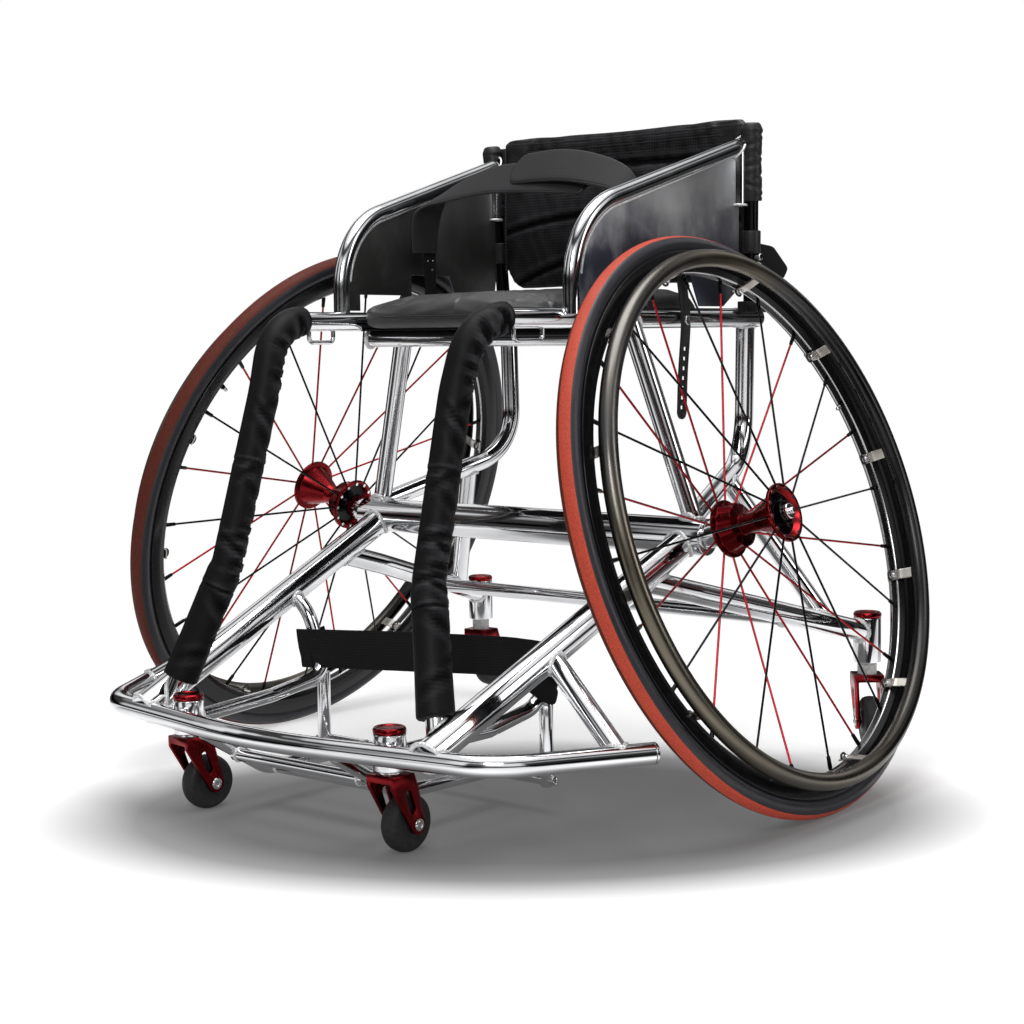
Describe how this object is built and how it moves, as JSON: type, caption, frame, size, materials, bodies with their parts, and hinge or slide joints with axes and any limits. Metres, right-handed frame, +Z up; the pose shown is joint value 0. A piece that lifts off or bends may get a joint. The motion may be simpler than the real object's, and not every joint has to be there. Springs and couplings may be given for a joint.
{
  "type": "basketball wheelchair",
  "caption": "Rigid court wheelchair with strongly cambered spoked wheels, a low front wing bar, anti-tip casters, side guards, sling back, cushion and straps.",
  "frame": {"origin": "on the floor, midway between the two main wheels, under the axles' midpoint", "axes": "+X to the user's left, -Y the way the chair faces, +Z up"},
  "size_m": [0.8777, 0.7751, 0.76],
  "materials": {
    "red_tyre": "red tread, dark sidewalls",
    "black_rim": "black anodised",
    "red_anodised": "red anodised",
    "handrim": "bronze grey anodised",
    "steel": "bright steel",
    "black_rubber": "black caster tyre",
    "aluminium": "polished tube with frosty weld beads",
    "brushed": "brushed sheet and tube",
    "black_anodised": "black anodised",
    "black_plastic": "moulded, satin",
    "webbing": "woven nylon webbing",
    "fabric": "padded spacer fabric",
    "vinyl": "matt vinyl"
  },
  "bodies": {
    "frame": {"antitip_arm_L": "aluminium", "antitip_arm_R": "aluminium", "antitip_cross_tube": "aluminium", "antitip_strut_L": "aluminium", "antitip_strut_R": "aluminium", "axle_L": "steel", "axle_R": "steel", "back_post_L": "black_anodised", "back_post_R": "black_anodised", "back_upholstery": "fabric", "calf_strap": "webbing", "camber_tube": "aluminium", "foot_hanger_L": "aluminium", "foot_hanger_R": "aluminium", "footrest_frame": "aluminium", "front_caster_cap_L": "red_anodised", "front_caster_cap_R": "red_anodised", "front_caster_housing_L": "aluminium", "front_caster_housing_R": "aluminium", "lap_belt": "webbing", "leg_pad_L": "fabric", "leg_pad_R": "fabric", "rear_caster_cap_L": "red_anodised", "rear_caster_cap_R": "red_anodised", "rear_frame_tube_L": "aluminium", "rear_frame_tube_R": "aluminium", "seat_cross_front": "aluminium", "seat_cross_rear": "aluminium", "seat_cushion": "vinyl", "seat_rail_L": "aluminium", "seat_rail_R": "aluminium", "seat_sling": "webbing", "seat_strut_L": "aluminium", "seat_strut_R": "aluminium", "side_guard_L": "brushed", "side_guard_R": "brushed", "side_tube_L": "aluminium", "side_tube_R": "aluminium", "wing_bar": "aluminium", "wing_strut_L": "aluminium", "wing_strut_R": "aluminium"},
    "axle_button_L": {"axle_button_L": "steel"},
    "axle_button_R": {"axle_button_R": "steel"},
    "front_caster_fork_L": {"front_caster_fork_L": "red_anodised"},
    "front_caster_fork_R": {"front_caster_fork_R": "red_anodised"},
    "front_caster_wheel_L": {"front_caster_wheel_L": "black_rubber"},
    "front_caster_wheel_R": {"front_caster_wheel_R": "black_rubber"},
    "wheel_L": {"handrim_L": "handrim", "hub_L": "red_anodised", "rim_L": "black_rim", "tyre_L": "red_tyre"},
    "wheel_R": {"handrim_R": "handrim", "hub_R": "red_anodised", "rim_R": "black_rim", "tyre_R": "red_tyre"},
    "ladder_strap_L": {"ladder_strap_L": "black_plastic"},
    "rear_caster_fork_L": {"rear_caster_fork_L": "red_anodised"},
    "rear_caster_fork_R": {"rear_caster_fork_R": "red_anodised"},
    "rear_caster_wheel_L": {"rear_caster_wheel_L": "black_rubber"},
    "rear_caster_wheel_R": {"rear_caster_wheel_R": "black_rubber"}
  },
  "joints": [
    {"name": "wheel_spin_L", "type": "hinge", "parent": "frame", "child": "wheel_L", "pos_m": [0.316, 0, 0.30552], "axis": [0.9548, 0, 0.2974], "continuous": true},
    {"name": "axle_button_press_L", "type": "slide", "parent": "frame", "child": "axle_button_L", "axis": [-0.9548, 0, -0.2974], "range_m": [0, 0.0015], "stiffness_N_per_m": 1500, "springref_m": -0.001},
    {"name": "front_caster_swivel_L", "type": "hinge", "parent": "frame", "child": "front_caster_fork_L", "pos_m": [0.146, -0.3985, 0.0831], "axis": [0, 0, 1], "continuous": true},
    {"name": "front_caster_roll_L", "type": "hinge", "parent": "front_caster_fork_L", "child": "front_caster_wheel_L", "pos_m": [0.146, -0.377, 0.0296], "axis": [1, 0, 0], "continuous": true},
    {"name": "rear_caster_swivel_L", "type": "hinge", "parent": "frame", "child": "rear_caster_fork_L", "pos_m": [0.302, 0.276, 0.098], "axis": [0, 0, 1], "continuous": true},
    {"name": "rear_caster_roll_L", "type": "hinge", "parent": "rear_caster_fork_L", "child": "rear_caster_wheel_L", "pos_m": [0.31553, 0.25929, 0.0445], "axis": [-0.7771, -0.6293, 0], "continuous": true},
    {"name": "wheel_spin_R", "type": "hinge", "parent": "frame", "child": "wheel_R", "pos_m": [-0.316, 0, 0.30552], "axis": [-0.9548, 0, 0.2974], "continuous": true},
    {"name": "axle_button_press_R", "type": "slide", "parent": "frame", "child": "axle_button_R", "axis": [0.9548, 0, -0.2974], "range_m": [0, 0.0015], "stiffness_N_per_m": 1500, "springref_m": -0.001},
    {"name": "front_caster_swivel_R", "type": "hinge", "parent": "frame", "child": "front_caster_fork_R", "pos_m": [-0.146, -0.3985, 0.0831], "axis": [0, 0, 1], "continuous": true},
    {"name": "front_caster_roll_R", "type": "hinge", "parent": "front_caster_fork_R", "child": "front_caster_wheel_R", "pos_m": [-0.14338, -0.37716, 0.0296], "axis": [0.9925, -0.1219, 0], "continuous": true},
    {"name": "rear_caster_swivel_R", "type": "hinge", "parent": "frame", "child": "rear_caster_fork_R", "pos_m": [-0.302, 0.276, 0.098], "axis": [0, 0, 1], "continuous": true},
    {"name": "rear_caster_roll_R", "type": "hinge", "parent": "rear_caster_fork_R", "child": "rear_caster_wheel_R", "pos_m": [-0.302, 0.2975, 0.0445], "axis": [1, 0, 0], "continuous": true},
    {"name": "ladder_strap_lift_L", "type": "hinge", "parent": "frame", "child": "ladder_strap_L", "pos_m": [0.1866, 0.06, 0.521], "axis": [1, 0, 0], "range_deg": [-12, 35]}
  ]
}
